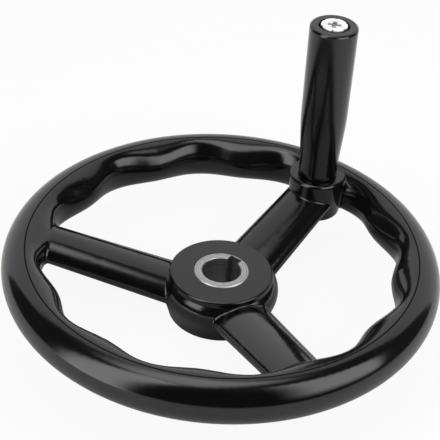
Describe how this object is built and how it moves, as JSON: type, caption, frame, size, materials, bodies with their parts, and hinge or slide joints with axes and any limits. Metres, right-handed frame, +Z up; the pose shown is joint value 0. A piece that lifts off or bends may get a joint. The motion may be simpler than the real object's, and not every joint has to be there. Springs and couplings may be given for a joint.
{
  "type": "machine handwheel",
  "caption": "Dished handwheel with a finger-grip rim, oval spokes, a keyed steel hub bush and a grip that revolves on a shouldered spindle screw.",
  "frame": {"origin": "on the bore's axis, at the hub's lower face, which sits against the machine", "axes": "+Z up the bore's axis, towards the grip; +X towards the grip's axis and the keyway; +Y completes a right-handed frame"},
  "size_m": [0.2, 0.2, 0.118],
  "materials": {
    "moulded_plastic": "smooth gloss, black right through",
    "grip_plastic": "smooth gloss, black right through",
    "turned_steel": "faced in the lathe, fine turned rings",
    "zinc_plated_steel": "bright zinc plate",
    "insert_brass": "machined, hidden in the boss"
  },
  "bodies": {
    "wheel": {"wheel_body": "moulded_plastic", "hub_bush": "turned_steel", "threaded_insert": "insert_brass", "spindle_screw": "zinc_plated_steel"},
    "grip": {"grip_sleeve": "grip_plastic"}
  },
  "joints": [
    {"name": "grip_spin", "type": "hinge", "parent": "wheel", "child": "grip", "pos_m": [0.078, 0, 0.0372], "axis": [0, 0, 1], "continuous": true}
  ]
}
